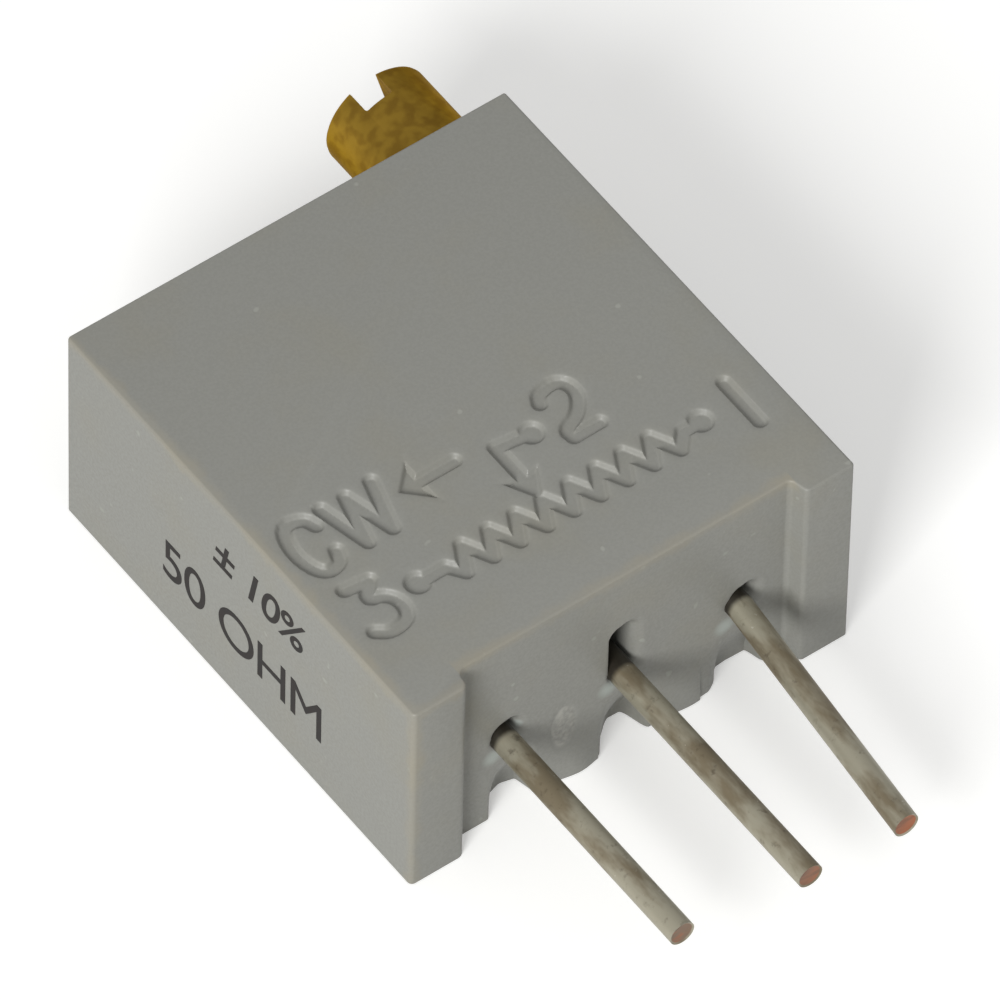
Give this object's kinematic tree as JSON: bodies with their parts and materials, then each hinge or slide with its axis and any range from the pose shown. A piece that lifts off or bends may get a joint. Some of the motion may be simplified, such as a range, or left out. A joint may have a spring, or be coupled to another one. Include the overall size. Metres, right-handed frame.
{
  "type": "trimmer potentiometer",
  "caption": "Square multi-turn trimmer potentiometer: grey moulded housing on two feet, side brass screw with slot, three wire pins in line.",
  "frame": {"origin": "middle of the flat rear face, on which the part lies", "axes": "+X from pin 3 to pin 1, +Y along the adjustment screw and out of its head, +Z out of the marked front face; the pins point along -Y"},
  "size_m": [0.0096, 0.0176, 0.0048],
  "materials": {
    "housing_plastic": "moulded glass-filled thermoplastic, fine matt",
    "cover_plastic": "moulded thermoplastic, matt",
    "epoxy": "cured epoxy, glossy",
    "ceramic": "fired alumina, satin",
    "cermet": "fired resistive film",
    "silver_film": "fired silver palladium film",
    "tinned_wire": "dull tinned copper wire, stained",
    "solder": "solder",
    "gear_plastic": "moulded acetal",
    "spring_alloy": "bright spring alloy",
    "brass": "turned brass, aged",
    "rubber": "black rubber",
    "clip_steel": "stamped steel"
  },
  "bodies": {
    "base": {"housing": "housing_plastic", "rear_cover": "cover_plastic", "epoxy_seal": "epoxy", "ceramic_element": "ceramic", "resistive_track": "cermet", "collector_track": "silver_film", "end_lead_1": "silver_film", "end_lead_3": "silver_film", "pin_1": "tinned_wire", "pin_2": "tinned_wire", "pin_3": "tinned_wire", "solder_1": "solder", "solder_2": "solder", "solder_3": "solder", "screw_retainer": "clip_steel"},
    "screw": {"adjustment_screw": "brass", "screw_o_ring": "rubber"},
    "wiper": {"wiper_gear": "gear_plastic", "wiper_contact": "spring_alloy"}
  },
  "joints": [
    {"name": "screw_turn", "type": "hinge", "parent": "base", "child": "screw", "pos_m": [0.0035, 0, 0.003], "axis": [0, 1, 0], "range_deg": [-3600, 3600]},
    {"name": "wiper_turn", "type": "hinge", "parent": "base", "child": "wiper", "pos_m": [-0.00052, -0.00009, 0.003], "axis": [0, 0, 1], "range_deg": [-120, 120]}
  ],
  "couplings": [
    {"joint": "wiper_turn", "follows": "screw_turn", "ratio": -0.033333}
  ]
}
